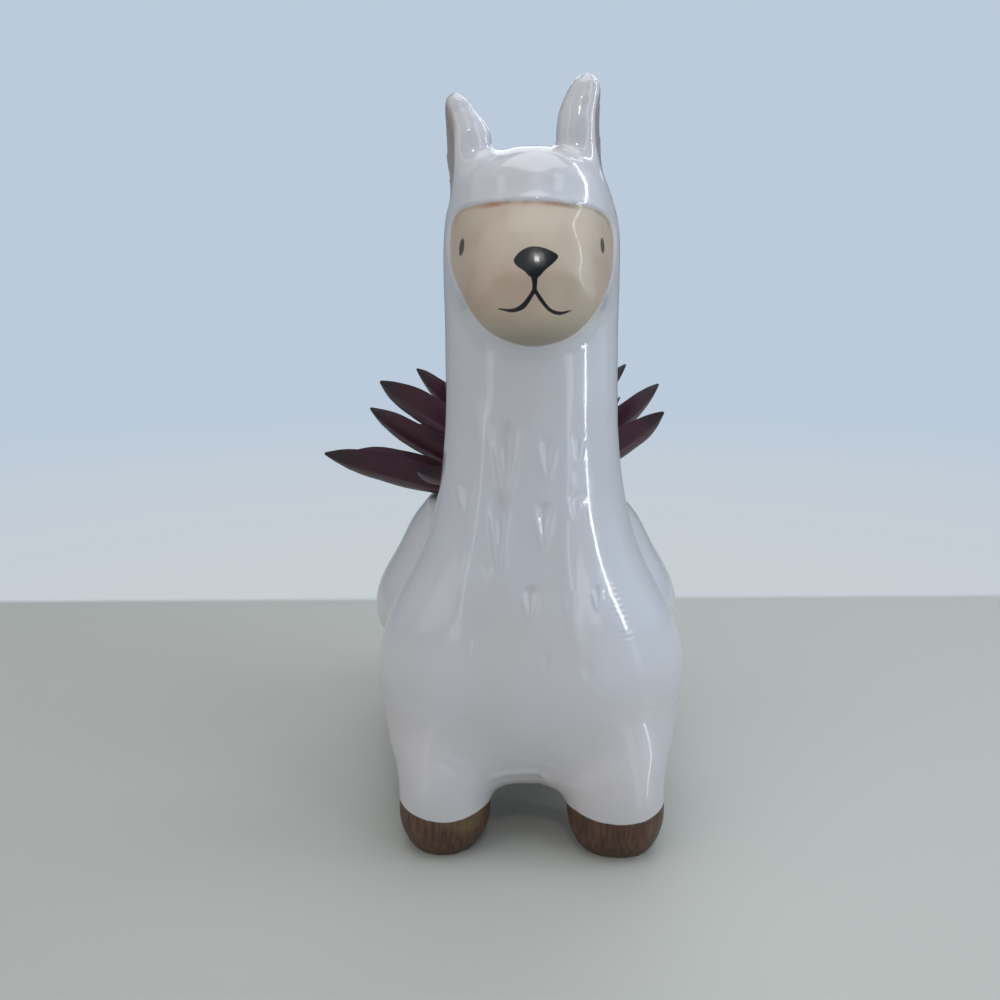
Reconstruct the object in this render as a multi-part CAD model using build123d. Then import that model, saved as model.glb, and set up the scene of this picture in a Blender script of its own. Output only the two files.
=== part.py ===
"""Alpaca-shaped ceramic planter with a succulent.

The animal looks along -Y and stands on Z = 0. It is modelled round its own
mid-plane and then moved so that the centre of the whole part's box, seen from
above, is the origin. All lengths are in millimetres and all angles in degrees.
"""

import os
from math import cos, radians, sin

from build123d import *

os.makedirs("parts", exist_ok=True)

# Driving dimensions of the casting
belly_height = 15.2
skirt_height = 36.0
rim_height = 81.0
barrel_half_width = 51.0
barrel_half_length = 50.0
barrel_centre_y = 18.5
wall = 4.6
floor_thickness = 5.5
rim_rounding = 1.6

# Underside between the legs
belly_half_width = 42.0
belly_front_y = -65.5
belly_back_y = 63.5

# Chest, neck and head, which grow out of the front of the barrel
neck_centre_y = -42.0
neck_half_width = 22.8
neck_half_depth = 21.0
chest_half_width = 44.2
chest_front_reach = 25.5
chest_back_reach = 38.0
neck_base_height = 110.0
head_base_height = 150.0
head_top_height = 182.5

# Muzzle
muzzle_centre_height = 149.0
muzzle_half_width = 17.8
muzzle_half_height = 16.5
muzzle_front_y = -72.5
muzzle_root_y = -50.0

# Ears: where the left and the right one stand, seen from the front
ear_y = -43.0
ear_depth = 12.0
ear_root_depth = 6.0
ear_scoop_depth = 1.6
ear_turn = 15
left_ear_foot_x = -14.6
left_ear_foot_height = 175.0
left_ear_bulge_x = -17.3
left_ear_tip_x = -18.8
left_ear_length = 20.6
left_ear_breadth = 11.6
right_ear_foot_x = 11.6
right_ear_foot_height = 176.5
right_ear_bulge_x = 13.0
right_ear_tip_x = 13.4
right_ear_length = 23.5
right_ear_breadth = 13.0

# Legs and hooves
stance_half_width = 35.0
front_toe_y = -69.6
back_heel_y = 60.0
hoof_radius = 12.0
hoof_height = 11.5
leg_root_height = 34.0
leg_root_radius = 20.0
leg_spread = 4.0
leg_lean = 6.0

# Tail
tail_height = 62.0
tail_length = 17.0
tail_radius = 5.2

# Drain hole and its stopper
drain_radius = 5.0
drain_taper = 0.5
plug_flange_radius = 8.0
plug_flange_thickness = 1.7
plug_grip_radius = 3.2
plug_grip_length = 5.0
plug_clearance = 0.08
plug_seat_gap = 0.1

# Soil
soil_depth_below_rim = 9.0
soil_clearance = 0.3
root_top_radius = 25.2
root_bottom_radius = 19.5
root_crown = 2.5

# Succulent
stem_radius = 3.6
stem_height = 30.0
leaf_length = 60.0
leaf_width = 13.0
leaf_thickness = 3.2
leaf_foot_gap = 0.25
leaf_roll = 50
leaf_slimness_share = 0.5

# One overrun serves every cut
overrun = 1.0

# Places that follow from the dimensions above
soil_height = rim_height - soil_depth_below_rim
floor_height = belly_height + floor_thickness
plant_y = barrel_centre_y

# Heights of the barrel's sections, as shares of its height, and their sizes as shares of its widest
barrel_section_shares = [
    (0.0, 0.88),
    (0.03, 0.945),
    (0.09, 0.985),
    (0.2, 1.0),
    (0.31, 0.98),
    (0.53, 0.88),
    (0.78, 0.763),
    (0.9, 0.69),
    (1.0, 0.63),
]

# The belly below the barrel: share of its height, of its half-width and of its half-length
belly_section_shares = [
    (0.0, 0.6, 0.84),
    (0.08, 0.72, 0.91),
    (0.34, 0.86, 0.97),
    (1.0, 1.0, 1.0),
]

# The chest as it narrows into the neck: share of the way up, of the half-width, and of the
# reach forwards and backwards from the neck's centre
chest_section_shares = [
    (0.0, 0.55, 0.5, 0.95),
    (0.02, 0.7, 0.7, 0.97),
    (0.05, 0.8, 0.84, 0.98),
    (0.1, 0.89, 0.93, 0.99),
    (0.165, 0.96, 0.985, 1.0),
    (0.24, 1.0, 1.0, 1.0),
    (0.325, 0.99, 1.0, 0.99),
    (0.42, 0.935, 0.99, 0.96),
    (0.52, 0.83, 0.965, 0.89),
    (0.61, 0.725, 0.935, 0.81),
    (0.7, 0.645, 0.905, 0.74),
    (0.8, 0.583, 0.875, 0.65),
    (0.9, 0.545, 0.845, 0.59),
    (1.0, 0.525, 0.83, 0.56),
]

# The neck between the chest and the head: share of the way up, and share of its size at the head
neck_section_shares = [(0.25, 1.0), (0.5, 0.995), (0.75, 0.995)]

# The dome of the head: share of the way up, and share of the neck's size
head_section_shares = [
    (0.0, 1.0),
    (0.3, 0.985),
    (0.52, 0.94),
    (0.72, 0.85),
    (0.88, 0.68),
    (0.97, 0.42),
    (1.0, 0.16),
]

# Shares of the muzzle's reach from its root, and of its size there
muzzle_section_shares = [
    (0.0, 1.05),
    (0.45, 1.02),
    (0.7, 0.93),
    (0.88, 0.74),
    (0.97, 0.46),
    (1.0, 0.14),
]

# Shares along an ear, of its breadth and depth there, and of the size of its hollow
ear_section_shares = [
    (0.0, 1.0, 1.0, 0.0),
    (0.15, 0.98, 1.0, 0.3),
    (0.35, 0.92, 1.0, 0.9),
    (0.6, 0.73, 0.84, 1.0),
    (0.82, 0.48, 0.56, 0.3),
    (1.0, 0.16, 0.2, 0.0),
]
scoop_width_share = 0.3

# A hoof: share of its height, and of its radius there
hoof_section_shares = [(0.0, 0.76), (0.25, 0.93), (0.6, 1.0)]

# A leg above its hoof: share of the root's height, and share of the way to the root's size
leg_section_shares = [(0.375, 0.02), (0.585, 0.25), (1.0, 1.0)]

# The tail: share along it and of its radius, and how far down its length it stands out most
tail_section_shares = [(0.0, 0.7), (0.35, 1.0), (0.7, 0.9), (1.0, 0.35)]
tail_bend_share = 0.33

# Shares along a leaf, and of its width and thickness there
leaf_section_shares = [
    (0.0, 0.26, 0.7),
    (0.2, 0.55, 1.0),
    (0.48, 0.97, 1.0),
    (0.72, 0.86, 0.82),
    (0.9, 0.42, 0.5),
    (1.0, 0.05, 0.12),
]

# A leaf cut across, as shares of its thickness above and below its middle, and where a flank swells
leaf_edge_share = 0.55
leaf_trough_share = 0.2
leaf_keel_share = 0.8
flank_out_share = 0.56
flank_down_share = 0.28

# Leaves: compass angle, share of the stem, share of the leaf length, rise at the foot and at the tip.
# Each tier of leaves is shorter and steeper than the one below it.
leaf_place_shares = [
    (188, 0.22, 1.07, 13, 19),
    (161, 0.28, 1.02, 11, 11),
    (226, 0.3, 0.76, 17, 18),
    (125, 0.2, 1.0, 16, 8),
    (93, 0.32, 1.0, 14, 4),
    (58, 0.21, 0.95, 17, 9),
    (20, 0.28, 0.52, 14, 10),
    (318, 0.24, 0.5, 22, 16),
    (178, 0.48, 0.88, 12, 40),
    (349, 0.37, 0.81, 20, 44),
    (137, 0.48, 0.88, 14, 14),
    (110, 0.55, 0.88, 22, 19),
    (84, 0.43, 0.88, 15, 12),
    (43, 0.5, 0.82, 11, 44),
    (245, 0.42, 0.5, 32, 36),
    (300, 0.44, 0.5, 32, 36),
    (194, 0.67, 0.86, 27, 37),
    (6, 0.57, 0.82, 18, 50),
    (147, 0.66, 0.76, 20, 21),
    (121, 0.73, 0.76, 32, 34),
    (92, 0.64, 0.78, 25, 27),
    (63, 0.73, 0.7, 30, 33),
    (328, 0.62, 0.5, 42, 46),
    (234, 0.58, 0.5, 42, 46),
    (167, 0.81, 0.7, 27, 48),
    (22, 0.8, 0.71, 25, 52),
    (137, 0.9, 0.58, 48, 54),
    (100, 0.8, 0.62, 40, 46),
    (64, 0.89, 0.56, 48, 54),
    (208, 0.8, 0.52, 48, 56),
    (346, 0.84, 0.46, 54, 60),
    (275, 0.64, 0.44, 48, 54),
    (178, 0.97, 0.46, 62, 72),
    (97, 0.98, 0.44, 66, 76),
    (20, 0.98, 0.44, 63, 73),
    (243, 0.92, 0.42, 66, 76),
]


def between(low, high, share):
    """Value at a share of the way from low to high."""
    return low + (high - low) * share


def oval(height, half_width, front, back):
    """Level oval section that reaches from the front to the back value of Y."""
    return Pos(0, (front + back) / 2, height) * Ellipse(half_width, (back - front) / 2)


def barrel(inset=0.0, top_extra=0.0):
    """Bowl of the back; an inset gives the form of its hollow."""
    sections = []
    for up, size in barrel_section_shares:
        height = between(skirt_height, rim_height, up)
        half_width = size * barrel_half_width - inset
        half_length = size * barrel_half_length - inset
        sections.append(oval(height, half_width, barrel_centre_y - half_length, barrel_centre_y + half_length))
    if top_extra > 0:
        sections.append(Pos(0, 0, top_extra) * sections[-1])
    return loft(sections)


def belly(inset=0.0, bottom=belly_height):
    """Underside between the legs, which runs up into the barrel and the chest."""
    middle_y = (belly_front_y + belly_back_y) / 2
    half_length = (belly_back_y - belly_front_y) / 2
    top = skirt_height + wall
    sections = []
    for up, wide, long in belly_section_shares:
        reach = long * half_length - inset
        height = between(bottom, top, up)
        sections.append(oval(height, wide * belly_half_width - inset, middle_y - reach, middle_y + reach))
    return loft(sections)


def neck_oval(height, size):
    """Level section round the neck's own axis, at a share of the neck's size."""
    depth = size * neck_half_depth
    return oval(height, size * neck_half_width, neck_centre_y - depth, neck_centre_y + depth)


def chest_ovals(inset=0.0, bottom=belly_height):
    """Sections of the chest as it narrows upwards into the neck."""
    sections = []
    for up, wide, forwards, backwards in chest_section_shares:
        height = between(bottom, neck_base_height, up)
        front = neck_centre_y - forwards * chest_front_reach + inset
        back = neck_centre_y + backwards * chest_back_reach - inset
        sections.append(oval(height, wide * chest_half_width - inset, front, back))
    return sections


def head_ovals():
    """Sections of the neck and of the dome of the head."""
    sections = []
    for up, size in neck_section_shares:
        sections.append(neck_oval(between(neck_base_height, head_base_height, up), size))
    for up, size in head_section_shares:
        sections.append(neck_oval(between(head_base_height, head_top_height, up), size))
    return sections


def muzzle():
    """Rounded muzzle that stands out from the front of the head."""
    sections = []
    for reach, size in muzzle_section_shares:
        y = between(muzzle_root_y, muzzle_front_y, reach)
        plane = Plane((0, y, muzzle_centre_height), x_dir=(1, 0, 0), z_dir=(0, -1, 0))
        sections.append(plane * Ellipse(size * muzzle_half_width, size * muzzle_half_height))
    return loft(sections)


def ear(foot_x, foot_height, bulge_x, tip_x, length, breadth, side):
    """Ear on a bowed middle line, with a hollow on the side that faces outwards."""
    foot = Vector(foot_x, ear_y, foot_height - ear_root_depth)
    bulge = Vector(bulge_x, ear_y, foot_height + length / 2)
    line = ThreePointArc(foot, bulge, Vector(tip_x, ear_y, foot_height + length))
    outwards = Vector(side * cos(radians(ear_turn)), -sin(radians(ear_turn)), 0)

    sections = []
    scoops = []
    for along, wide, deep, sunk in ear_section_shares:
        plane = Plane(line @ along, x_dir=outwards, z_dir=line % along)
        sections.append(plane * Ellipse(wide * breadth / 2, deep * ear_depth / 2))
        if sunk > 0:
            scoop = Ellipse(sunk * ear_scoop_depth, sunk * scoop_width_share * ear_depth)
            scoops.append(plane * Pos(wide * breadth / 2, 0, 0) * scoop)
    return loft(sections) - loft(scoops)


def leg(side, toe_y, facing):
    """Stub leg that widens upwards into the body, with a hoof that is flat on the ground."""
    sections = []
    for up, size in hoof_section_shares:
        x = side * (stance_half_width - hoof_radius)
        y = toe_y + facing * hoof_radius
        sections.append(Pos(x, y, up * hoof_height) * Circle(size * hoof_radius))
    for up, widened in leg_section_shares:
        radius = between(hoof_radius, leg_root_radius, widened)
        x = side * (stance_half_width + leg_spread * widened - radius)
        y = toe_y + facing * (leg_lean * widened + radius)
        sections.append(Pos(x, y, up * leg_root_height) * Circle(radius))
    return loft(sections)


def tail():
    """Small tail that lies against the rump."""
    rump_y = barrel_centre_y + barrel_half_length
    top = Vector(0, rump_y - 2 * tail_radius, tail_height)
    middle = Vector(0, rump_y + tail_radius / 2, tail_height - tail_length * tail_bend_share)
    low = Vector(0, rump_y, tail_height - tail_length)
    line = ThreePointArc(top, middle, low)
    sections = []
    for along, size in tail_section_shares:
        plane = Plane(line @ along, x_dir=(1, 0, 0), z_dir=line % along)
        sections.append(plane * Circle(size * tail_radius))
    return loft(sections)


def below_soil():
    """Everything under the level of the soil."""
    size = 2 * (barrel_half_length + chest_half_width + rim_height)
    return Pos(0, 0, soil_height - size / 2) * Box(size, size, size)


def hollow(inset, bottom, top_extra=0.0):
    """Inner form of the casting: the bowl, the belly and the lower chest."""
    chest = loft(chest_ovals(inset=inset, bottom=bottom)) & below_soil()
    return barrel(inset=inset, top_extra=top_extra) + belly(inset=inset, bottom=bottom) + chest


def planter_body():
    """The whole casting: figure, well and drain hole."""
    solid = barrel() + belly() + loft(chest_ovals() + head_ovals()) + muzzle() + tail()
    for side in (-1, 1):
        solid += leg(side, front_toe_y, 1)
        solid += leg(side, back_heel_y, -1)
    solid += ear(
        left_ear_foot_x,
        left_ear_foot_height,
        left_ear_bulge_x,
        left_ear_tip_x,
        left_ear_length,
        left_ear_breadth,
        -1,
    )
    solid += ear(
        right_ear_foot_x,
        right_ear_foot_height,
        right_ear_bulge_x,
        right_ear_tip_x,
        right_ear_length,
        right_ear_breadth,
        1,
    )
    solid -= hollow(wall, floor_height, overrun)
    hole_length = floor_thickness + 2 * overrun
    hole = Solid.make_cone(drain_radius, drain_radius - drain_taper, hole_length)
    solid -= Pos(0, plant_y, belly_height - overrun) * hole
    rim = solid.edges().filter_by_position(Axis.Z, rim_height, rim_height)
    return fillet(rim, rim_rounding)


def drain_plug():
    """Stopper with a flange under the belly and a grip to pull it by."""
    top_radius = drain_radius - drain_taper - plug_clearance
    length = floor_thickness + plug_seat_gap
    shank = Pos(0, 0, belly_height - plug_seat_gap) * Solid.make_cone(
        drain_radius - plug_clearance, top_radius, length
    )
    flange_bottom = belly_height - plug_seat_gap - plug_flange_thickness
    flange = Pos(0, 0, flange_bottom) * Solid.make_cylinder(plug_flange_radius, plug_flange_thickness)
    grip = Pos(0, 0, flange_bottom - plug_grip_length) * Solid.make_cylinder(plug_grip_radius, plug_grip_length)
    return Pos(0, plant_y, 0) * (shank + flange + grip)


def root_ball():
    """Tapered plug of roots and soil under a low, round crown."""
    bottom = floor_height + soil_clearance
    plug = Pos(0, 0, bottom) * Solid.make_cone(root_bottom_radius, root_top_radius, soil_height - bottom)
    crown_radius = (root_top_radius ** 2 + root_crown ** 2) / (2 * root_crown)
    round_top = Pos(0, 0, soil_height + root_crown - crown_radius) * Sphere(crown_radius)
    crown = round_top & Pos(0, 0, soil_height) * Solid.make_cylinder(root_top_radius, root_crown + overrun)
    return Pos(0, plant_y, 0) * (plug + crown)


def potting_mix():
    """Loose mix that fills the well round the root ball."""
    fill = hollow(wall + soil_clearance, floor_height + soil_clearance, overrun) & below_soil()
    bottom_radius = root_bottom_radius + soil_clearance
    top_radius = root_top_radius + soil_clearance
    hole = Solid.make_cone(bottom_radius, top_radius, soil_height - floor_height + overrun)
    return fill - Pos(0, plant_y, floor_height) * hole


def plant_stem():
    """Short stem that stands in the root ball and ends in a rounded tip."""
    foot = soil_height + root_crown
    cylinder = Solid.make_cylinder(stem_radius, stem_height - stem_radius)
    return Pos(0, plant_y, foot) * (cylinder + Pos(0, 0, stem_height - stem_radius) * Sphere(stem_radius))


def leaf_section(half_width, thickness):
    """Leaf cut across: a trough above, and two flanks that meet in a keel below."""
    left = (-half_width, thickness * leaf_edge_share)
    right = (half_width, thickness * leaf_edge_share)
    keel = (0, -thickness * leaf_keel_share)
    flank_x = half_width * flank_out_share
    flank_y = -thickness * flank_down_share
    upper = ThreePointArc(left, (0, thickness * leaf_trough_share), right)
    flank_right = ThreePointArc(right, (flank_x, flank_y), keel)
    flank_left = ThreePointArc(keel, (-flank_x, flank_y), left)
    return make_face([upper, flank_right, flank_left])


def leaf(azimuth, up, long, foot_rise, tip_rise):
    """Pointed leaf on a bowed middle line, from the stem outwards."""
    out = Vector(cos(radians(azimuth)), sin(radians(azimuth)), 0)
    across = Vector(-sin(radians(azimuth)), cos(radians(azimuth)), 0)
    upwards = Vector(0, 0, 1)
    foot = Vector(0, plant_y, soil_height + up * stem_height) + out * stem_radius
    start = radians(foot_rise)
    bend = radians(tip_rise - foot_rise)
    roll = -leaf_roll * cos(radians(azimuth))
    stoutness = between(leaf_slimness_share, 1, long)
    sections = []
    for along, wide, thick in leaf_section_shares:
        rise = start + bend * along
        chord = start + bend * along / 2
        reach = long * leaf_length * along
        point = foot + out * (reach * cos(chord)) + upwards * (reach * sin(chord))
        plane = Plane(point, x_dir=across, z_dir=out * cos(rise) + upwards * sin(rise))
        half_width = stoutness * wide * leaf_width / 2
        section = leaf_section(half_width, stoutness * thick * leaf_thickness)
        sections.append(plane * Rot(0, 0, roll) * section)
    stem_room = Solid.make_cylinder(stem_radius + leaf_foot_gap, 2 * stem_height)
    return loft(sections) - Pos(0, plant_y, soil_height) * stem_room


def build_parts():
    """Every piece by name, round the animal's own mid-plane."""
    pieces = {
        "planter_body": planter_body(),
        "drain_plug": drain_plug(),
        "potting_mix": potting_mix(),
        "root_ball": root_ball(),
        "plant_stem": plant_stem(),
    }
    for number, place in enumerate(leaf_place_shares, start=1):
        pieces[f"leaf_{number:02d}"] = leaf(*place)
    return pieces


pieces = build_parts()
box = Compound(list(pieces.values())).bounding_box()
to_origin = Pos(-box.center().X, -box.center().Y, -box.min.Z)
print("size", box.size, "moved by", to_origin.position)
for name, piece in pieces.items():
    export_step(piece.moved(to_origin), f"parts/{name}.step")
    print(name, round(piece.volume), len(piece.solids()), piece.is_valid)
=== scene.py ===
# %% [markdown]
# # A glazed alpaca planter with a dark succulent
#
# The real object is one hollow ceramic casting with paint under a clear glaze, a live plant that lifts out
# with its roots, the loose mix round them and a rubber stopper in the drain hole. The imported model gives
# every piece its size and place. This lesson dresses those pieces: it sculpts the wool, paints the face and
# lights the whole in a small plain studio.

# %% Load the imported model
import math
import random

import bmesh
import bpy
import numpy as np
from mathutils import Matrix, Vector, bvhtree, noise


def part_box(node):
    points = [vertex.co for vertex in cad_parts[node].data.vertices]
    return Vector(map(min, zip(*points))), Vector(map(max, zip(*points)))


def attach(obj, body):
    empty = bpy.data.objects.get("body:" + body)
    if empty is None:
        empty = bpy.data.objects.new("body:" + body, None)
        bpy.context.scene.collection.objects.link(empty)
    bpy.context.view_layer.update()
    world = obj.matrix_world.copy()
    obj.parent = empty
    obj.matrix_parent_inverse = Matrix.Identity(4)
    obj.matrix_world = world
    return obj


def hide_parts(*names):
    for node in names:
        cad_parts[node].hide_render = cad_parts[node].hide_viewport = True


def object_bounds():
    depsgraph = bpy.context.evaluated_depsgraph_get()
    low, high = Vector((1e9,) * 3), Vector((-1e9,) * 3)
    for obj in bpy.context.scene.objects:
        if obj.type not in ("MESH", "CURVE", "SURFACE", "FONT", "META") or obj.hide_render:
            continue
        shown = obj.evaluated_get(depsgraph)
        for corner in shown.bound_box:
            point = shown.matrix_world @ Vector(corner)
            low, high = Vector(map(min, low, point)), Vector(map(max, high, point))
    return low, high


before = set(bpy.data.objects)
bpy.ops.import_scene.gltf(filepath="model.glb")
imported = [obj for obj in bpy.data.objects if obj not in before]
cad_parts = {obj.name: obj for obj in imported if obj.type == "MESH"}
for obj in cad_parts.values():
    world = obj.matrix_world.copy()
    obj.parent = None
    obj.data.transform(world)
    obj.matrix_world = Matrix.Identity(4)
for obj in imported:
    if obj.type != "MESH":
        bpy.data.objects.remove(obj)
cad_low, cad_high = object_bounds()

# %% [markdown]
# ## One way to say where things are
#
# The animal is easiest to describe round its own middle: X from its mid-plane, Y along its back and Z from
# the ground, in millimetres. The root ball is centred on that mid-plane, so its box tells where the middle
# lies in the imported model. Measuring it keeps this lesson right if the model is packed again.

# %% Millimetres round the animal's own middle
MM = 0.001
PLANT_Y = 18.5

root_low, root_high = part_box("root_ball")
middle = (root_low + root_high) / 2
ORIGIN = Vector((middle.x, middle.y - PLANT_Y * MM, 0))


def at(x, y, z):
    """A place given in millimetres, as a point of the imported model."""
    return ORIGIN + Vector((x, y, z)) * MM


def in_millimetres(places):
    """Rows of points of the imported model, in millimetres round the animal's middle."""
    return (places - np.array(ORIGIN)) / MM


def back_to_model(places):
    """The other way round."""
    return places * MM + np.array(ORIGIN)


print("middle of the animal at", [round(v, 5) for v in ORIGIN])

# %% [markdown]
# ## The camera
#
# The picture is taken from a little above the head and slightly to the left, quite close, so the hooves
# look small and the ears reach high. A short distance with a lens as long as the sensor is wide gives that
# perspective. Turning the camera by a third of a degree copies a hand that wasn't quite level.

# %% Camera
CAMERA_PLACE = (-8.5, -308.0, 145.4)
CAMERA_TILT = 11.5
CAMERA_ROLL = -0.35
SENSOR = 36.0

camera_data = bpy.data.cameras.new("camera")
camera_data.sensor_width = SENSOR
camera_data.lens = SENSOR
camera_data.clip_start = 0.01
camera = bpy.data.objects.new("camera", camera_data)
bpy.context.scene.collection.objects.link(camera)
tilt = Matrix.Rotation(math.radians(90 - CAMERA_TILT), 4, "X")
roll = Matrix.Rotation(math.radians(CAMERA_ROLL), 4, "Z")
camera.matrix_world = Matrix.Translation(at(*CAMERA_PLACE)) @ tilt @ roll
bpy.context.scene.camera = camera
print("camera at", [round(v, 3) for v in camera.location])

# %% [markdown]
# ## Small helpers for meshes
#
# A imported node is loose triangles. A copy of it is merged first, and from then on it is one skin that can
# be remeshed, smoothed and pushed about. Moving many points at once is quickest with arrays, so two helpers
# read the points into an array and write them back.


# %% Mesh helpers
MERGE = 0.00001


def add_piece(name, mesh):
    """A new object in the scene for a finished mesh."""
    piece = bpy.data.objects.new(name, mesh)
    bpy.context.scene.collection.objects.link(piece)
    return piece


def merged_copy(node, name):
    """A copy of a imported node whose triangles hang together."""
    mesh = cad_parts[node].data.copy()
    mesh.name = name
    form = bmesh.new()
    form.from_mesh(mesh)
    bmesh.ops.remove_doubles(form, verts=form.verts, dist=MERGE)
    form.to_mesh(mesh)
    form.free()
    mesh.materials.clear()
    return add_piece(name, mesh)


def points_of(mesh, what="co"):
    """Points or normals of a mesh as an array with one row each."""
    values = np.empty(len(mesh.vertices) * 3)
    mesh.vertices.foreach_get(what, values)
    return values.reshape(-1, 3)


def set_points(mesh, places):
    """Writes an array of points back to its mesh."""
    mesh.vertices.foreach_set("co", places.ravel())
    mesh.update()


def finished_mesh(piece):
    """The piece's mesh with its modifiers applied."""
    graph = bpy.context.evaluated_depsgraph_get()
    mesh = bpy.data.meshes.new_from_object(piece.evaluated_get(graph))
    piece.modifiers.clear()
    piece.data = mesh
    return mesh


def shade_smooth(mesh, sharp_angle):
    """Smooth shading, but for edges that turn by more than an angle."""
    mesh.shade_smooth()
    mesh.set_sharp_from_angle(angle=math.radians(sharp_angle))


def ease(low, high, value):
    """0 below low, 1 above high, and an even S in between."""
    share = np.clip((value - low) / (high - low), 0, 1)
    return share * share * (3 - 2 * share)


def between(rise, fall, value):
    """1 between a rise and a fall and 0 past them, each an S from the pair's first to its second value."""
    return ease(*rise, value) * (1 - ease(*fall, value))


def smooth_line(points, closed=False, steps=6):
    """A smooth curve through a few points."""
    points = np.array(points, float)
    if closed:
        points = np.vstack([points[-1], points, points[:2]])
    else:
        points = np.vstack([2 * points[0] - points[1], points, 2 * points[-1] - points[-2]])
    line = []
    for before, start, end, after in zip(points, points[1:], points[2:], points[3:]):
        for t in np.arange(steps) / steps:
            line.append(0.5 * (2 * start + (end - before) * t
                               + (2 * before - 5 * start + 4 * end - after) * t ** 2
                               + (3 * start - before - 3 * end + after) * t ** 3))
    line.append(points[-2])
    return np.array(line)


def nearest_on(line, where):
    """Distance from each place to a line, and how far along the line the nearest point is."""
    best = np.full(len(where), 1e9)
    share = np.zeros(len(where))
    for number, (start, end) in enumerate(zip(line, line[1:])):
        step = end - start
        t = np.clip(((where - start) @ step) / (step @ step), 0, 1)
        away = np.linalg.norm(where - start - t[:, None] * step, axis=1)
        closer = away < best
        best[closer] = away[closer]
        share[closer] = (number + t[closer]) / (len(line) - 1)
    return best, share


def outline_distance(outline, where):
    """Distance to a closed outline, negative inside it."""
    away, _ = nearest_on(outline, where)
    inside = np.zeros(len(where), bool)
    x, z = where[:, 0], where[:, 1]
    for (x0, z0), (x1, z1) in zip(outline, outline[1:]):
        crosses = (z0 > z) != (z1 > z)
        if z1 != z0:
            inside ^= crosses & (x < (x1 - x0) * (z - z0) / (z1 - z0) + x0)
    return np.where(inside, -away, away)


def store(mesh, name, values):
    """Keeps one number for each point, for a material to read."""
    attribute = mesh.attributes.new(name, "FLOAT", "POINT")
    attribute.data.foreach_set("value", values.astype(np.float32))


print("merging points closer than", MERGE / MM, "mm")

# %% [markdown]
# ## The casting
#
# A slip-cast figure comes out of its mould with every join rounded, because the liquid clay fills the
# corners and the glaze fills them again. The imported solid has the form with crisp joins. A voxel remesh
# turns it into one even skin, and then the hollows are filled: each point is lifted towards its neighbours
# where they stand higher, and never lowered, so the legs and the chest flow together, the brow runs down
# into the muzzle and no round part shrinks. A filled hollow still ends in a faint edge, so the brow's slope
# and the belly above the legs are evened out both ways after that.

# %% Even skin
VOXEL = 1.3 * MM

casting = merged_copy("planter_body", "casting")
remesh = casting.modifiers.new("even skin", "REMESH")
remesh.mode = "VOXEL"
remesh.voxel_size = VOXEL
skin = finished_mesh(casting)
print("casting", len(skin.vertices), "points", len(skin.polygons), "faces")

# %% Ways to soften a skin
STEP_SHARE = 0.5
ROUNDS_WITH_ONE_NORMAL = 10


def neighbour_mean(places, ends, count):
    """Mean of each point's neighbours along the mesh's edges."""
    mean = np.empty_like(places)
    for axis in range(3):
        total = np.bincount(ends[:, 0], places[ends[:, 1], axis], len(places))
        total += np.bincount(ends[:, 1], places[ends[:, 0], axis], len(places))
        mean[:, axis] = total / count
    return mean


def edge_ends(mesh):
    """The two ends of every edge, and how many edges meet at each point."""
    ends = np.empty(len(mesh.edges) * 2, int)
    mesh.edges.foreach_get("vertices", ends)
    count = np.bincount(ends, minlength=len(mesh.vertices)).astype(float)
    return ends.reshape(-1, 2), count


def relax(mesh, rounds, weight):
    """Evens out a skin a little, both ways."""
    ends, count = edge_ends(mesh)
    places = points_of(mesh)
    for _ in range(rounds):
        places += (neighbour_mean(places, ends, count) - places) * STEP_SHARE * weight[:, None]
    set_points(mesh, places)


def fill_hollows(mesh, rounds, weight):
    """Fills concave joins and leaves everything round as it is."""
    ends, count = edge_ends(mesh)
    ends = ends[(weight[ends] > 0).any(axis=1)]
    places = points_of(mesh)
    for number in range(rounds):
        if number % ROUNDS_WITH_ONE_NORMAL == 0:
            set_points(mesh, places)
            normals = points_of(mesh, "normal")
        lift = np.einsum("ij,ij->i", neighbour_mean(places, ends, count) - places, normals)
        places += normals * (np.clip(lift, 0, None) * STEP_SHARE * weight)[:, None]
    set_points(mesh, places)


# %% Soft joins
# Rounds of softening for each part
FIRST_RELAX_ROUNDS = 3
FILL_ROUNDS = 60
FACE_FILL_ROUNDS = 260
RUMP_FILL_ROUNDS = 160
FACE_RELAX_ROUNDS = 110
BELLY_RELAX_ROUNDS = 40

# Where each part rises and falls
WELL_WALL = (24, 30)
WELL_HEIGHTS = (74, 84), (88, 90)
LEG_HEIGHTS = (10, 14), (44, 56)
SHOULDER_HEIGHTS = (56, 60), (100, 120)
SHOULDER_SHARE = 0.35
RUMP_HEIGHTS = (18, 26), (42, 54)
RUMP_FROM_Y = (-25, 0)
BROW_HEIGHTS = (138, 148), (172, 178)
BROW_BACK_Y = (-50, -44)
BELLY_HEIGHTS = (25, 31), (48, 60)
EAR_FOOT = (180, 186)
EAR_SPARED = 0.7

# The foot of the brow's slope lies lower at the sides of the muzzle
SLOPE_FOOT = 150.0
SLOPE_RISE = 8
SLOPE_TOP = (168, 174)
SLOPE_FOOT_AT_SIDES = 8.0
SLOPE_SIDES = (8, 16)

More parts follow.
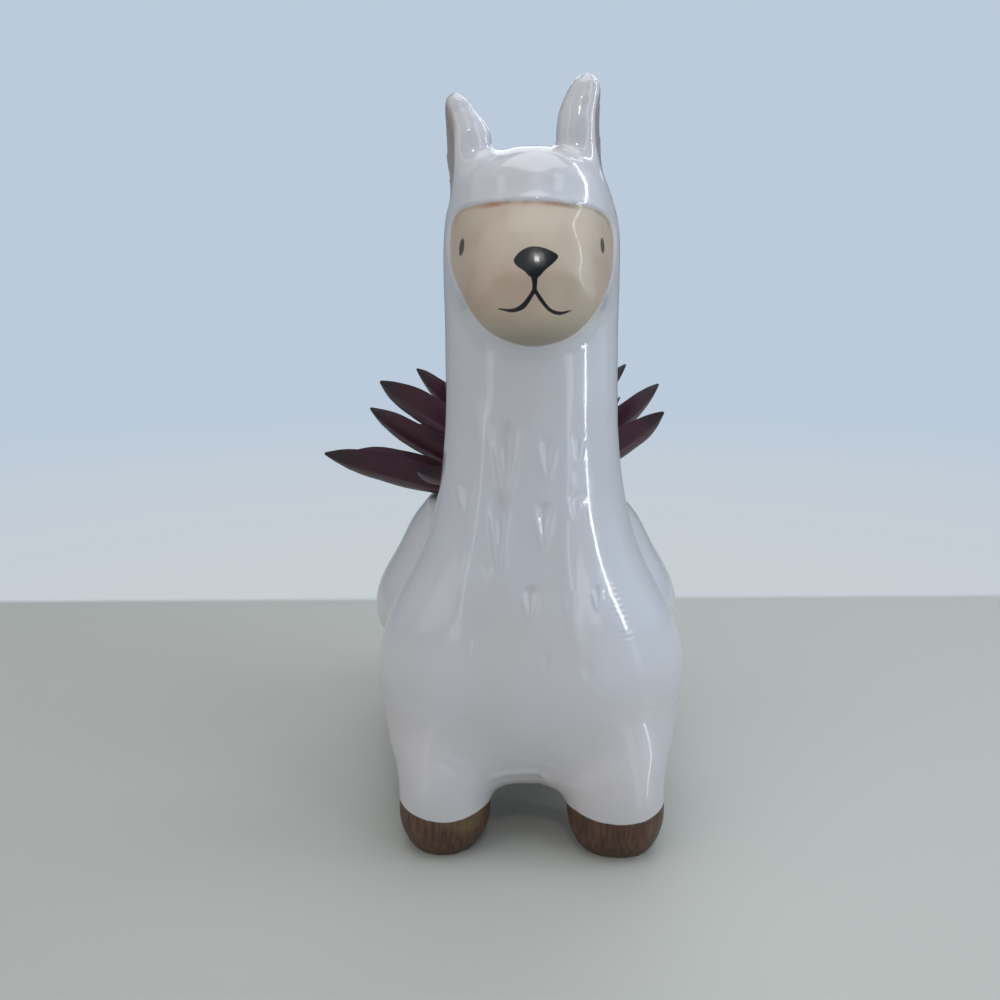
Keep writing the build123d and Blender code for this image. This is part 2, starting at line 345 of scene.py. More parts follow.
x, y, z = in_millimetres(points_of(skin)).T
outside = 1 - ease(*WELL_WALL, np.hypot(x, y - PLANT_Y)) * between(*WELL_HEIGHTS, z)
legs = between(*LEG_HEIGHTS, z)
shoulders = SHOULDER_SHARE * between(*SHOULDER_HEIGHTS, z)
rump = between(*RUMP_HEIGHTS, z) * ease(*RUMP_FROM_Y, y)
brow_join = between(*BROW_HEIGHTS, z) * (1 - ease(*BROW_BACK_Y, y))
relax(skin, FIRST_RELAX_ROUNDS, 1 - EAR_SPARED * ease(*EAR_FOOT, z))
fill_hollows(skin, FILL_ROUNDS, np.clip(legs + shoulders, 0, 1) * outside)
fill_hollows(skin, FACE_FILL_ROUNDS, brow_join)
fill_hollows(skin, RUMP_FILL_ROUNDS, rump * outside)

x, y, z = in_millimetres(points_of(skin)).T
slope_foot = SLOPE_FOOT - SLOPE_FOOT_AT_SIDES * ease(*SLOPE_SIDES, abs(x))
brow_slope = ease(0, SLOPE_RISE, z - slope_foot) * (1 - ease(*SLOPE_TOP, z)) * (1 - ease(*BROW_BACK_Y, y))
relax(skin, FACE_RELAX_ROUNDS, brow_slope)
relax(skin, BELLY_RELAX_ROUNDS, between(*BELLY_HEIGHTS, z) * outside)
print("softened", int((outside > 0).sum()), "points outside the well")

# %% [markdown]
# ## Finer skin where the modelling is
#
# The face carries thin brush lines, the chest has tooled locks of wool and the arch between the forelegs has
# wrinkles. They need points closer together than the plain flanks do, so only those faces are divided.

# %% Finer skin in four places
# Each place: its name, how far back it reaches, its half width, its lowest and highest point, and the cuts
FINE_PLACES = [
    ("locks", -44, 20, 62, 118, 2),
    ("arch", -44, 30, 15, 31, 1),
    ("low locks", -44, 30, 45, 61, 1),
    ("face", -46.5, 60, 130, 171, 2),
]


def divide(mesh, chosen, cuts):
    """Divides the faces whose points are all chosen."""
    form = bmesh.new()
    form.from_mesh(mesh)
    form.verts.ensure_lookup_table()
    edges = [e for e in form.edges if chosen[e.verts[0].index] and chosen[e.verts[1].index]]
    bmesh.ops.subdivide_edges(form, edges=edges, cuts=cuts, use_grid_fill=True, smooth=1.0)
    form.to_mesh(mesh)
    form.free()


for name, back_y, half_width, low_z, high_z, cuts in FINE_PLACES:
    x, y, z = in_millimetres(points_of(skin)).T
    divide(skin, (y < back_y) & (abs(x) < half_width) & (z > low_z) & (z < high_z), cuts)
    print("divided", name, "to", len(skin.vertices), "points")

# %% [markdown]
# ## Wool cap, locks and creases
#
# The wool stands a little proud of the smooth face, most of all over the forehead. Down the chest the maker
# pressed pointed locks with a tool: each is a dent at the top between two low ridges that meet in a point.
# Softer upright folds run between them. All of it is a push along the skin's own normal, worked out from
# where a point lies on the front.

# %% Outline of the painted face
FACE_OUTLINE = [
    (-17.4, 166.4), (-9.7, 167.3), (-1.4, 167.4), (8.0, 166.9), (16.2, 165.6), (19.8, 162.0), (20.3, 155.5),
    (19.2, 149.5), (16.0, 143.8), (12.2, 138.9), (7.6, 135.4), (-0.3, 133.6), (-8.2, 135.6), (-13.6, 139.8),
    (-17.6, 146.4), (-20.2, 152.5), (-20.6, 159.5), (-19.8, 163.8),
]
FACE_BACK_Y = -44.0
FACE_LOWEST = 120
FAR = 50.0
face_outline = smooth_line(FACE_OUTLINE, closed=True)


def face_distance(place):
    """How far a point is from the edge of the face, seen from the front: negative on the face."""
    away = np.full(len(place), FAR)
    front = (place[:, 1] < FACE_BACK_Y) & (place[:, 2] > FACE_LOWEST)
    away[front] = outline_distance(face_outline, place[front][:, [0, 2]])
    return away


print("face outline of", len(face_outline), "points")

# %% Where the locks, the folds and the wrinkles lie
# Where a lock's dent is (x, z), its half width, its length and how strong it is
LOCKS = [
    (-6.6, 112.6, 3.1, 22.0, 1.5),
    (3.2, 109.5, 2.4, 12.0, 0.65),
    (10.9, 110.5, 1.5, 9.0, 0.4),
    (-17.2, 97.0, 2.2, 9.0, 0.4),
    (-8.2, 95.0, 2.6, 23.0, 1.4),
    (2.4, 93.0, 2.3, 13.0, 0.95),
    (10.2, 95.2, 2.1, 9.0, 0.35),
    (-11.9, 77.6, 1.8, 7.0, 0.1),
    (-1.0, 71.6, 2.2, 9.5, 0.8),
    (8.7, 70.8, 1.6, 7.0, 0.25),
    (16.2, 71.6, 1.3, 6.5, 0.5),
    (-16.7, 58.4, 2.1, 7.5, 0.22),
    (2.9, 55.0, 2.0, 7.5, 0.3),
    (13.6, 51.0, 2.4, 6.5, 0.25),
]

# Upright folds: points down the fold (x, z), half width and height
FOLDS = [
    ([(-13.6, 124.0), (-12.8, 108.0), (-14.8, 90.0), (-18.0, 72.0), (-19.5, 60.0)], 2.3, 0.5),
    ([(8.6, 124.0), (8.2, 100.0), (8.0, 80.0), (10.4, 60.0), (12.0, 50.0)], 2.0, 0.42),
    ([(-5.0, 88.0), (-6.5, 76.0), (-6.8, 62.0)], 2.6, 0.3),
]

# The thin lip along the edge of the arch between the front legs (x, z)
ARCH_LIP = [(-12.6, 20.2), (-10.0, 21.8), (-6.0, 22.7), (-1.0, 23.0), (3.5, 22.4), (6.6, 20.6), (8.6, 17.4)]
LIP_HALF_WIDTH = 0.8
LIP_HEIGHT = 0.4

# Wrinkles where the casting was wiped over the arch (x, z), half width and depth
WRINKLES = [
    ([(-27.5, 26.6), (-24.0, 26.2), (-20.5, 24.6), (-18.6, 23.2)], 0.9, 0.2),
    ([(-22.0, 28.4), (-17.5, 27.6), (-15.5, 27.9)], 0.9, 0.14),
    ([(-12.5, 26.9), (-9.5, 26.7), (-7.2, 26.2)], 0.8, 0.16),
    ([(3.5, 26.6), (7.5, 26.4), (10.5, 25.0)], 0.9, 0.13),
    ([(13.8, 24.6), (16.5, 24.2), (18.6, 24.9)], 0.9, 0.13),
]
print("locks", len(LOCKS), "folds", len(FOLDS), "wrinkles", len(WRINKLES))

# %% Push the wool and the locks
CAP_RAISE = 0.5
CAP_REACH = 5.0
FACE_SINK = 0.3
SINK_REACH = 2.5
CHIN_HEIGHTS = (138, 148)
BROW_RISE = (150, 164)
BROW_LEAST = 0.3
LOCK_DENT = 0.85
LOCK_RIDGE = 0.52
CHEST_Y = -40
CHEST_TOP = 130
FOLD_ENDS = (0, 0.25), (0.7, 1)
WRINKLE_ENDS = (0, 0.3), (0.7, 1)
LIP_ENDS = (0, 0.2), (0.8, 1)
EAR_SWELL = 0.3
EAR_RISE = (183, 187)
HAND_MADE = 0.12
HAND_MADE_SIZE = 14.0
HAND_MADE_RISE = (4, 16)


def lock_push(x, z, lock):
    """Push of one lock: a dent under its round top, and a ridge along each side down to the point."""
    lock_x, lock_z, half_width, length, strength = lock
    down = (lock_z + half_width - z) / length
    across = (x - lock_x) / half_width
    taper = np.clip(1 - down, 0, 1) ** 0.8
    dent = np.exp(-(across / (0.66 * taper + 0.1)) ** 2) * between((-0.06, 0.16), (0.16, 0.9), down)
    ridge = np.exp(-((abs(across) - 1.08 * taper) / 0.38) ** 2) * between((0.05, 0.5), (0.7, 1.12), down)
    return strength * (LOCK_RIDGE * ridge - LOCK_DENT * dent)


def line_push(where, points, half_width, height, rise, fall):
    """Push of a ridge along a line, which rises and falls over shares of the line's length."""
    away, along = nearest_on(smooth_line(points), where)
    return height * np.exp(-(away / half_width) ** 2) * between(rise, fall, along)


place = in_millimetres(points_of(skin))
normals = points_of(skin, "normal")
x, y, z = place.T
facing = ease(0.15, 0.5, -normals[:, 1])
push = np.zeros(len(place))

edge = face_distance(place)
brow = BROW_LEAST + (1 - BROW_LEAST) * ease(*BROW_RISE, z)
chin = ease(*CHIN_HEIGHTS, z)
cap = np.exp(-np.clip(edge, 0, None) / CAP_REACH) * ease(0, 0.9, edge)
sunk = np.exp(np.clip(edge, None, 0) / SINK_REACH) * (1 - ease(-0.3, 0.5, edge))
push += (CAP_RAISE * cap - FACE_SINK * sunk) * brow * chin

for lock in LOCKS:
    push += lock_push(x, z, lock) * facing * (y < CHEST_Y)
front = (y < CHEST_Y) & (z < CHEST_TOP) & (facing > 0)
where = place[front][:, [0, 2]]
for fold in FOLDS:
    push[front] += line_push(where, *fold, *FOLD_ENDS) * facing[front]
for wrinkle in WRINKLES:
    push[front] -= line_push(where, *wrinkle, *WRINKLE_ENDS) * facing[front]
push[front] += line_push(where, ARCH_LIP, LIP_HALF_WIDTH, LIP_HEIGHT, *LIP_ENDS)

# Remeshing wears thin ears down, so they swell again
push += EAR_SWELL * ease(*EAR_RISE, z)

# A hand-made figure is nowhere quite even
wave = np.array([noise.noise(Vector(p) / HAND_MADE_SIZE) for p in place])
push += HAND_MADE * wave * ease(*HAND_MADE_RISE, z)
place += normals * push[:, None]
print("pushed the wool by", round(push.min(), 2), "to", round(push.max(), 2), "mm")

# %% [markdown]
# ## Ears and forelegs
#
# In the picture the ears are broad at a third of their height and the left foreleg stands further out than
# the right one. The ears are drawn out sideways with a short table of middles and half widths up their
# height, and the right foreleg is filled out on its inner side. The front of each hoof comes forward and is
# rounded below.

# %% Shape the ears and the forelegs
# Each ear: its side, heights up it, its packed middle and half width there, and the new ones
EAR_SHAPES = [
    (-1, [178, 184, 188, 192, 195.6], [16.2, 17.1, 17.8, 18.3, 18.8], [5.3, 4.4, 3.5, 2.4, 1.0],
     [16.5, 16.6, 17.3, 18.6, 19.4], [5.8, 6.2, 5.3, 3.6, 1.4]),
    (1, [180, 185, 191, 195.5, 200], [12.5, 12.8, 13.1, 13.3, 13.4], [6.0, 5.3, 4.1, 2.9, 1.05],
     [12.4, 12.15, 12.6, 13.3, 14.1], [6.0, 6.05, 5.3, 4.1, 1.6]),
]

EAR_FROM_X = (3.5, 9)
EAR_FROM_Z = (175, 182)
EAR_RELAX_ROUNDS = 8
EAR_RELAX_X = (10, 13)
EAR_RELAX_Z = (166, 172)
EAR_TIP = (190, 196)
TIP_SPARED = 0.8

FORE_Y = (-44, -34)
LEFT_LEG_OUT = 1.2
LEFT_LEG_X = (8, 14)
LEFT_LEG_TO_Z = (14, 34)
RIGHT_LEG_FROM_X = (0, 6)
RIGHT_LEG_TO_X = (14, 26)
RIGHT_LEG_HEIGHTS = [0, 11, 20, 27, 36]
RIGHT_LEG_IN = [1.8, 1.9, 3.2, 2.0, 0.0]
TOES_FORWARD = (1.0, 2.9)
TOES_FROM_X = (2, 10)
TOES_TO_Y = (-62, -46)
TOES_TO_Z = (12, 40)
HOOF_ROUNDING = 0.09
ROUNDING_TO_Z = (0, 10)
HOOF_MIDDLE = (23.0, -57.6)
SOLE = 0.45


def shape_ear(place, side, heights, middle, half_width, new_middle, new_half_width):
    """Draws an ear out sideways to the breadth that it has in the picture."""
    x, z = side * place[:, 0], place[:, 2]
    share = (x - np.interp(z, heights, middle)) / np.interp(z, heights, half_width)
    new = np.interp(z, heights, new_middle) + share * np.interp(z, heights, new_half_width)
    place[:, 0] = side * (x + (new - x) * ease(*EAR_FROM_X, x) * ease(*EAR_FROM_Z, z))


def shape_forelegs(place):
    """Moves the left foreleg a little outwards, fills out the right one and rounds both hooves below."""
    x, y, z = place.T
    fore = 1 - ease(*FORE_Y, y)
    left = ease(*LEFT_LEG_X, -x) * (1 - ease(*LEFT_LEG_TO_Z, z)) * fore
    inner = (1 - ease(*RIGHT_LEG_TO_X, x)) * ease(*RIGHT_LEG_FROM_X, x)
    right = inner * np.interp(z, RIGHT_LEG_HEIGHTS, RIGHT_LEG_IN) * fore
    forward = np.where(x < 0, *TOES_FORWARD) * ease(*TOES_FROM_X, abs(x)) * (1 - ease(*TOES_TO_Z, z))
    forward *= 1 - ease(*TOES_TO_Y, y)
    rounding = HOOF_ROUNDING * (1 - ease(*ROUNDING_TO_Z, z)) * fore
    place[:, 0] -= LEFT_LEG_OUT * left + right + rounding * (x - np.sign(x) * HOOF_MIDDLE[0])
    place[:, 1] -= forward + rounding * (y - HOOF_MIDDLE[1])


for ear in EAR_SHAPES:
    shape_ear(place, *ear)
shape_forelegs(place)
low, high = in_millimetres(np.array([cad_low, cad_high]))
place = np.clip(place, low, high)
place[place[:, 2] < SOLE, 2] = 0
set_points(skin, back_to_model(place))
x, y, z = place.T
ears = ease(*EAR_RELAX_X, abs(x)) * ease(*EAR_RELAX_Z, z) * (1 - TIP_SPARED * ease(*EAR_TIP, z))
relax(skin, EAR_RELAX_ROUNDS, ears)
shade_smooth(skin, 180)
print("shaped", int((ears > 0).sum()), "points of the ears")

# %% [markdown]
# ## Where the paint goes
#
# Paint follows the figure, so each painted shape is kept on the skin as a distance to its edge, in
# millimetres. A distance runs smoothly from point to point, so the material can cut it as sharply as a
# brush does. Lines carry their own width, which tapers as a brush stroke does.

# %% Outlines of the nose, the mouth and the eyes
NOSE_OUTLINE = [
    (-5.0, 153.7), (-3.6, 155.5), (-1.4, 156.6), (0.9, 156.6), (3.2, 155.9), (5.3, 154.5), (4.0, 152.8),
    (2.2, 151.3), (0.9, 149.9), (-0.3, 149.4), (-1.5, 150.0), (-2.7, 151.2), (-4.3, 152.3),
]

# Brush strokes: points (x, z) and the half width at each
STROKES = [
    ([(-0.3, 150.2), (-0.2, 148.2), (-0.3, 146.4)], [0.8, 0.55, 0.5]),
    ([(-0.3, 147.0), (-1.3, 145.2), (-3.0, 143.1), (-5.4, 142.2), (-8.6, 142.6)],
     [0.4, 0.5, 0.62, 0.42, 0.12]),
    ([(-0.2, 147.0), (1.1, 144.9), (3.2, 142.4), (5.6, 141.5), (8.4, 142.1)],
     [0.4, 0.45, 0.4, 0.42, 0.14]),
]
MUZZLE_LOW = 130
MUZZLE_HIGH = 172

# Each eye: its middle (x, z), half width, half height and lean
EYES = [((-17.5, 157.3), 0.66, 2.15, 0.12), ((16.8, 157.4), 0.62, 1.95, -0.02)]


def stroke_distance(points, widths, where):
    """Distance to the edge of a brush stroke, negative on the paint."""
    away, along = nearest_on(smooth_line(points), where)
    return away - np.interp(along, np.linspace(0, 1, len(widths)), widths)


print("brush strokes", len(STROKES), "eyes", len(EYES))

# %% Distances on the face
place = in_millimetres(points_of(skin))
x, y, z = place.T
face_edge = face_distance(place)
muzzle = (y < FACE_BACK_Y) & (z > MUZZLE_LOW) & (z < MUZZLE_HIGH)
where = place[muzzle][:, [0, 2]]
dark = np.full(len(place), FAR)
dark_here = outline_distance(smooth_line(NOSE_OUTLINE, closed=True, steps=4), where)
for points, widths in STROKES:
    dark_here = np.minimum(dark_here, stroke_distance(points, widths, where))
dark[muzzle] = dark_here
eye = np.full(len(place), FAR)
for (eye_x, eye_z), half_width, half_height, lean in EYES:
    across = (where[:, 0] - eye_x - lean * (where[:, 1] - eye_z)) / half_width
    upright = (where[:, 1] - eye_z) / half_height
    eye[muzzle] = np.minimum(eye[muzzle], (np.hypot(across, upright) - 1) * half_width)
print("painted points", int((dark < 0).sum()), "dark", int((face_edge < 0).sum()), "beige")

# %% Paint of the ears and the hooves, comb marks and blush
EAR_PAINT_LOWEST = 165

# The painted hollow of each ear: side, middle in Y, foot and tip height, half width and outer side's X
EARS = [(-1, -43.4, 168.0, 193.5, 3.5, -17.0), (1, -43.0, 172.0, 196.0, 3.4, 14.5)]
ear_paint = np.full(len(place), FAR)
for side, ear_y, foot_z, tip_z, half_width, outer_x in EARS:
    here = (z > EAR_PAINT_LOWEST) & (side * (x - outer_x) > 0)
    along = (z - (foot_z + tip_z) / 2) / ((tip_z - foot_z) / 2)
    across = (y - ear_y) / half_width
    distance = (np.hypot(across, along) - 1) * half_width
    ear_paint[here] = np.minimum(ear_paint[here], distance[here])

# Fine comb marks low on the right of the chest: the line they cross (x, z) and its half width
COMB_LINE = [(20.4, 71.0), (22.4, 65.0), (24.4, 58.5)]
COMB_HALF_WIDTH = 1.5
COMB_BACK_Y = -30
comb_away, _ = nearest_on(smooth_line(COMB_LINE), place[:, [0, 2]])
comb = np.exp(-(comb_away / COMB_HALF_WIDTH) ** 2) * (y < COMB_BACK_Y)

# The brown of the hooves stands higher at their sides than in front
HOOF_LINE = 11.9
HOOF_CURVE = 1.5
HOOF_HALF_WIDTH = 12
off_middle = np.clip((abs(x) - HOOF_MIDDLE[0]) / HOOF_HALF_WIDTH, -1, 1)
hoof_edge = z - HOOF_LINE - HOOF_CURVE * off_middle ** 2

# A warmer patch beside the nose: its middle (x, z) and its half width
BLUSH_AT = (-7.3, 149.0)
BLUSH_HALF_WIDTH = 5.0
blush = np.exp(-(np.hypot(x - BLUSH_AT[0], z - BLUSH_AT[1]) / BLUSH_HALF_WIDTH) ** 2)
print("ear points", int((ear_paint < 0).sum()), "hoof points", int((hoof_edge < 0).sum()))

# %% Keep the distances on the skin
painted = {"blush": blush, "hoof_edge": hoof_edge, "comb": comb, "face_edge": face_edge, "dark_edge": dark,
           "eye_edge": eye, "ear_edge": ear_paint}
for name, values in painted.items():
    store(skin, name, values)
print("kept", sorted(painted))

# %% [markdown]
# ## Writing materials as sums
#
# A material is a small calculation. Written node by node it is hard to read, so a thin wrapper lets Python's
# own signs make the Math nodes: `1 - mask * 0.5` builds a subtraction and a product. Colours and vectors go
# through their own nodes, because a Math node would turn them grey.


# %% Sums of sockets
class Value:
    """One output socket that can be added, multiplied and so on."""

    def __init__(self, maker, socket):
        self.maker = maker
        self.socket = socket

    def _with(self, operation, first, second):
        return self.maker.node("ShaderNodeMath", {"operation": operation}, {0: first, 1: second})

    def __add__(self, other):
        return self._with("ADD", self, other)

    def __radd__(self, other):
        return self._with("ADD", other, self)

    def __sub__(self, other):
        return self._with("SUBTRACT", self, other)

    def __rsub__(self, other):
        return self._with("SUBTRACT", other, self)

    def __mul__(self, other):
        return self._with("MULTIPLY", self, other)

    def __rmul__(self, other):
        return self._with("MULTIPLY", other, self)

    def __truediv__(self, other):
        return self._with("DIVIDE", self, other)

    def __abs__(self):
        return self._with("ABSOLUTE", self, 0.0)


# %% The material maker
class Finish:
    """A material that is being made."""

    def __init__(self, name):
        self.material = bpy.data.materials.new(name)
        self.material.use_nodes = True
        self.tree = self.material.node_tree
        self.tree.nodes.clear()

    def node(self, kind, settings=None, sockets=None, out=0):
        """Adds a node, sets it up, joins or fills its sockets and gives one of its outputs."""
        made = self.tree.nodes.new(kind)
        for name, value in (settings or {}).items():
            setattr(made, name, value)
        for name, value in (sockets or {}).items():
            if isinstance(value, Value):
                self.tree.links.new(value.socket, made.inputs[name])
            else:
                made.inputs[name].default_value = value
        return Value(self, made.outputs[out]) if len(made.outputs) else None

    def place(self):
        """Object coordinates in metres."""
        return self.node("ShaderNodeTexCoord", out="Object")

    def height(self):
        """Height above the ground in millimetres."""
        return self.node("ShaderNodeSeparateXYZ", sockets={0: self.place()}, out="Z") / MM

    def sideways(self):
        """Distance to the right of the animal's middle in millimetres."""
        return (self.node("ShaderNodeSeparateXYZ", sockets={0: self.place()}, out="X") - ORIGIN.x) / MM

    def stored(self, name):
        """A number kept on the mesh."""
        return self.node("ShaderNodeAttribute", {"attribute_name": name}, out="Fac")

    def ease(self, value, low, high):
        """0 at low, 1 at high, with an even S in between."""
        return self.node("ShaderNodeMapRange", {"interpolation_type": "SMOOTHSTEP"},
                         {"Value": value, "From Min": low, "From Max": high})

    def speckle(self, scale, detail=2.0, stretch=(1, 1, 1)):
        """Cloudy noise of a size given in blobs per metre."""
        where = self.node("ShaderNodeMapping", sockets={"Vector": self.place(), "Scale": stretch})
        sockets = {"Vector": where, "Scale": scale, "Detail": detail}
        return self.node("ShaderNodeTexNoise", sockets=sockets, out="Fac")

    def bands(self, scale, distortion, detail=2.0):
        """Level bands up the height, a little bent."""
        sockets = {"Vector": self.place(), "Scale": scale, "Distortion": distortion, "Detail": detail}
        level = {"wave_type": "BANDS", "bands_direction": "Z"}
        return self.node("ShaderNodeTexWave", level, sockets, out="Fac")

    def mix(self, share, first, second):
        """Mixes two colours."""
        return self.node("ShaderNodeMix", {"data_type": "RGBA"}, {0: share, 6: first, 7: second}, out=2)

    def bump(self, height, distance, below=None):
        """Bump from a height that runs from 0 to 1, its full height in metres."""
        sockets = {"Height": height, "Distance": distance}
        if below is not None:
            sockets["Normal"] = below
        return self.node("ShaderNodeBump", {}, sockets, out="Normal")

    def surface(self, **sockets):
        """Joins the result to the material's surface and gives the material."""
        filled = {name.replace("_", " "): value for name, value in sockets.items()}
        shader = self.node("ShaderNodeBsdfPrincipled", {}, filled, out="BSDF")
        self.node("ShaderNodeOutputMaterial", {}, {"Surface": shader})
        return self.material


def srgb(red, green, blue):
    """A colour as it looks on a screen, 0 to 255, as light."""
    light = []
    for part in (red, green, blue):
        part /= 255
        light.append(part / 12.92 if part <= 0.04045 else ((part + 0.055) / 1.055) ** 2.4)
    return (*light, 1.0)


print("a middle grey is", round(srgb(128, 128, 128)[0], 3), "as light")

# %% [markdown]
# ## Glaze and paint
#
# The white is a thick clear gloss over white clay. The face is a beige stain with a warmer line under the
# wool, orange paint that turns olive on the right as a painted shadow under the wool's edge, and the chin
# is painted a darker grey as painted shade. The nose and mouth are black brush strokes, and the hooves are
# brown in upright brush marks. The glaze lies over all of it, so one coat covers everything but the dry
# clay of the soles. It is thinner and duller over the beige of the face and towards the feet, where the
# white is also painted greyer as painted shade.

# %% Material of the casting
WHITE = srgb(218, 219, 225)
WHITE_WARM = srgb(216, 213, 215)
# Painted shade: a greyer white towards the feet
WHITE_PAINTED_SHADE_BELOW = srgb(192, 186, 184)
BEIGE = srgb(204, 188, 168)
BEIGE_DEEP = srgb(190, 166, 146)
HAIRLINE = srgb(176, 118, 88)
# Painted shadow: olive at the right end of the line under the wool
HAIRLINE_OLIVE_SHADOW = srgb(140, 136, 112)
BLUSH = srgb(196, 150, 132)
INK = srgb(14, 14, 19)
EYE_BROWN = srgb(58, 48, 45)
HOOF = srgb(100, 68, 46)
HOOF_DARK = srgb(62, 40, 29)
HOOF_OLIVE = srgb(108, 92, 60)
# Painted shade: a darker grey towards the chin
CHIN_PAINTED_SHADE = srgb(148, 145, 132)
EAR_BROWN = srgb(148, 130, 122)
BARE_CLAY = srgb(214, 205, 192)
COMB_PER_METRE = 210.0

# Heights in millimetres over which something fades
CHIN_SHADE_FADE = (133, 143)
HAIRLINE_FADE = (158, 165)
THIN_GLAZE_AND_SHADE_FADE = (22, 56)
OLIVE_FADE = (3, 10)
DARK_FOOT_FADE = (0, 7)
BARE_FADE = (0.3, 0.6)

# How rough the glaze is, what each finish adds to that, and the share of the clear coat that it takes away
GLAZE_ROUGH = 0.16
COAT_ROUGH = 0.045
ROUGHER = {"hoof": 0.24, "bare": 0.5, "thin_glaze_and_shade": 0.2, "face": 0.26, "ink": 0.04}
COAT_LOST = {"hoof": 0.75, "thin_glaze_and_shade": 0.6, "face": 0.75, "ink": 0.8}

# How deep each bump is
RIPPLE_DEPTH = 0.22 * MM
PEEL_DEPTH = 0.01 * MM
BRUSH_DEPTH = 0.04 * MM
COMB_DEPTH = 0.07 * MM


def white_glaze():
    """White glaze with the painted face, ears and hooves under it."""
    finish = Finish("white_glaze")
    cloud = finish.speckle(28, detail=2)
    colour = finish.mix(finish.ease(cloud, 0.3, 0.7), WHITE, WHITE_WARM)

    face = 1 - finish.ease(finish.stored("face_edge"), -0.15, 0.25)
    beige = finish.mix(finish.ease(finish.speckle(60, detail=3), 0.35, 0.75), BEIGE, BEIGE_DEEP)
    hairline = 1 - finish.ease(abs(finish.stored("face_edge") + 0.35), 0.25, 0.9)
    height = finish.height()
    beige = finish.mix(finish.stored("blush") * 0.35, beige, BLUSH)
    # Painted shade: towards the chin the beige turns a darker grey
    beige = finish.mix((1 - finish.ease(height, *CHIN_SHADE_FADE)) * 0.85, beige, CHIN_PAINTED_SHADE)
    sideways = finish.sideways()
    hairline = hairline * finish.ease(height, *HAIRLINE_FADE) * finish.ease(finish.speckle(190), 0.35, 0.62)
    hairline = hairline * finish.ease(sideways, -17, -9)
    # The line under the wool is orange paint; on the right it turns olive as a painted shadow under the
    # wool's edge
    hairline_paint_and_shadow = finish.mix(finish.ease(sideways, 2, 11), HAIRLINE, HAIRLINE_OLIVE_SHADOW)

    ear = 1 - finish.ease(finish.stored("ear_edge"), -0.5, 0.3)
    eye = 1 - finish.ease(finish.stored("eye_edge"), -0.12, 0.1)
    ink = 1 - finish.ease(finish.stored("dark_edge"), -0.1, 0.12)
    # Towards the feet the glaze is thinner and duller, and the white is painted greyer there as painted shade
    thin_glaze_and_shade = 1 - finish.ease(height, *THIN_GLAZE_AND_SHADE_FADE)

    streaks = finish.speckle(900, detail=4, stretch=(1, 1, 0.1))
    blotches = finish.speckle(120, detail=2)
    brown = finish.mix(finish.ease(streaks, 0.3, 0.7), HOOF_DARK, HOOF)
    olive = finish.ease(blotches, 0.5, 0.7) * finish.ease(height, *OLIVE_FADE)
    brown = finish.mix(olive * 0.6, brown, HOOF_OLIVE)
    brown = finish.mix((1 - finish.ease(height, *DARK_FOOT_FADE)) * 0.45, brown, HOOF_DARK)
    hoof = 1 - finish.ease(finish.stored("hoof_edge") + 0.5 * finish.speckle(220, detail=1), 0, 0.35)
    bare = 1 - finish.ease(height, *BARE_FADE)

    # Each layer of paint hides the ones before it
    layers = [(face, beige), (hairline * 0.75, hairline_paint_and_shadow), (ear * 0.85, EAR_BROWN), (eye * 0.95, EYE_BROWN),
              (ink, INK), (thin_glaze_and_shade * 0.6, WHITE_PAINTED_SHADE_BELOW), (hoof, brown), (bare, BARE_CLAY)]
    for mask, layer in layers:
        colour = finish.mix(mask, colour, layer)

    ripple = finish.speckle(95, detail=2)
    orange_peel = finish.speckle(700, detail=1)
    normal = finish.bump(ripple, RIPPLE_DEPTH)
    normal = finish.bump(orange_peel, PEEL_DEPTH, below=normal)
    normal = finish.bump(streaks * hoof, BRUSH_DEPTH, below=normal)
    marks = finish.bands(COMB_PER_METRE, 0.6)
    normal = finish.bump(marks * finish.stored("comb"), COMB_DEPTH, below=normal)
    parts = {"hoof": hoof, "bare": bare, "thin_glaze_and_shade": thin_glaze_and_shade, "face": face * (1 - ink), "ink": ink}
    rough = GLAZE_ROUGH
    for name, more in ROUGHER.items():
        rough = rough + more * parts[name]
    coat = 1 - bare
    for name, lost in COAT_LOST.items():
        coat = coat * (1 - lost * parts[name])
    return finish.surface(Base_Color=colour, Roughness=rough, Coat_Weight=coat, Coat_Roughness=COAT_ROUGH,
                          IOR=1.5, Normal=normal)


casting.data.materials.append(white_glaze())
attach(casting, "pot")
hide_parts("planter_body")
print("glaze of", len(casting.data.materials[0].node_tree.nodes), "nodes")

# %% [markdown]
# ## Leaves
#
# Each leaf of the real plant is a thick, pointed spear with a keel below and a shallow trough above, dark
# maroon with a nearly black tip. The imported leaves have that form. A copy of each is made fuller towards
# its tip and given a gently uneven edge. Every point learns how far along and how far across its leaf it
# lies, so that one material can paint them all: the paler line along the keel is a painted highlight, and
# the lighter maroon in the edges is painted light.

# %% Dress the leaves
LEAF_WAVE = 0.22
FOOT_DEPTH = 0.8

# How much broader a leaf grows at shares along it
BROADER_AT = [0.0, 0.45, 0.7, 0.85, 0.94, 1.0]
BROADER_BY = [0.0, 0.02, 0.16, 0.42, 0.6, 0.6]
STATIONS = 40
leaf_nodes = sorted(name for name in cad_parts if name.startswith("leaf_"))
plant_axis = np.array([ORIGIN.x, ORIGIN.y + PLANT_Y * MM])


